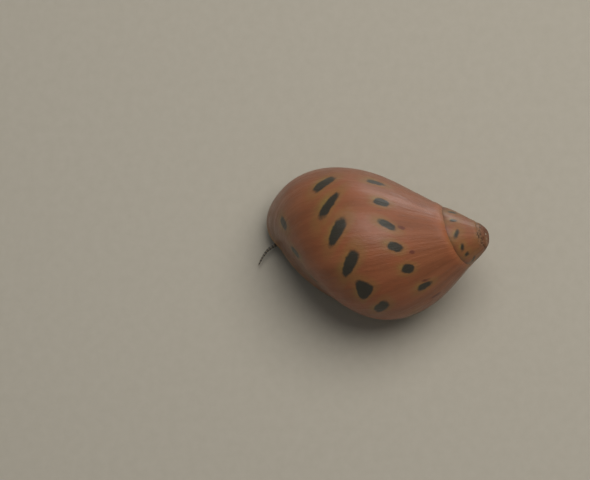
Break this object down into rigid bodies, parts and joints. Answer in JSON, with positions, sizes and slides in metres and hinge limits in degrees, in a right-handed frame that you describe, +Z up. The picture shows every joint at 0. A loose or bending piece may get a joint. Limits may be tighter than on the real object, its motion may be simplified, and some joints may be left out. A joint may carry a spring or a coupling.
{
  "type": "nerite snail",
  "caption": "Life-size nerite snail, crawling, with a rounded orange-brown shell with dark dashes and the soft body under its rim.",
  "frame": {"origin": "the middle of the whole model's bounding box, on the floor that the sole rests on", "axes": "+Z up; +Y from the head towards the coil's tip, so the head points along -Y; the outer lip and the animal's right are along -X"},
  "size_m": [0.019, 0.0264, 0.0139],
  "materials": {
    "shell": "gloss",
    "spire": "gloss",
    "worn_tip": "matte",
    "deck": "satin",
    "body": "satin",
    "mantle": "satin",
    "sole": "satin",
    "head": "satin",
    "feelers": "satin",
    "eyes": "polished",
    "lid": "satin"
  },
  "bodies": {
    "root": {"shell_body_whorl": "shell", "shell_spire": "spire", "shell_apex": "worn_tip", "shell_deck": "deck", "body_stalk": "body", "mantle_edge_rear": "mantle", "mantle_edge_side": "mantle", "mantle_edge_front": "mantle", "foot": "sole", "tail": "sole", "head": "head", "tentacle_left_base": "feelers", "tentacle_left_tip": "feelers", "tentacle_right_base": "feelers", "tentacle_right_tip": "feelers", "eye_stalk_left": "feelers", "eye_stalk_right": "feelers", "eye_left": "eyes", "eye_right": "eyes", "operculum": "lid"}
  },
  "joints": []
}
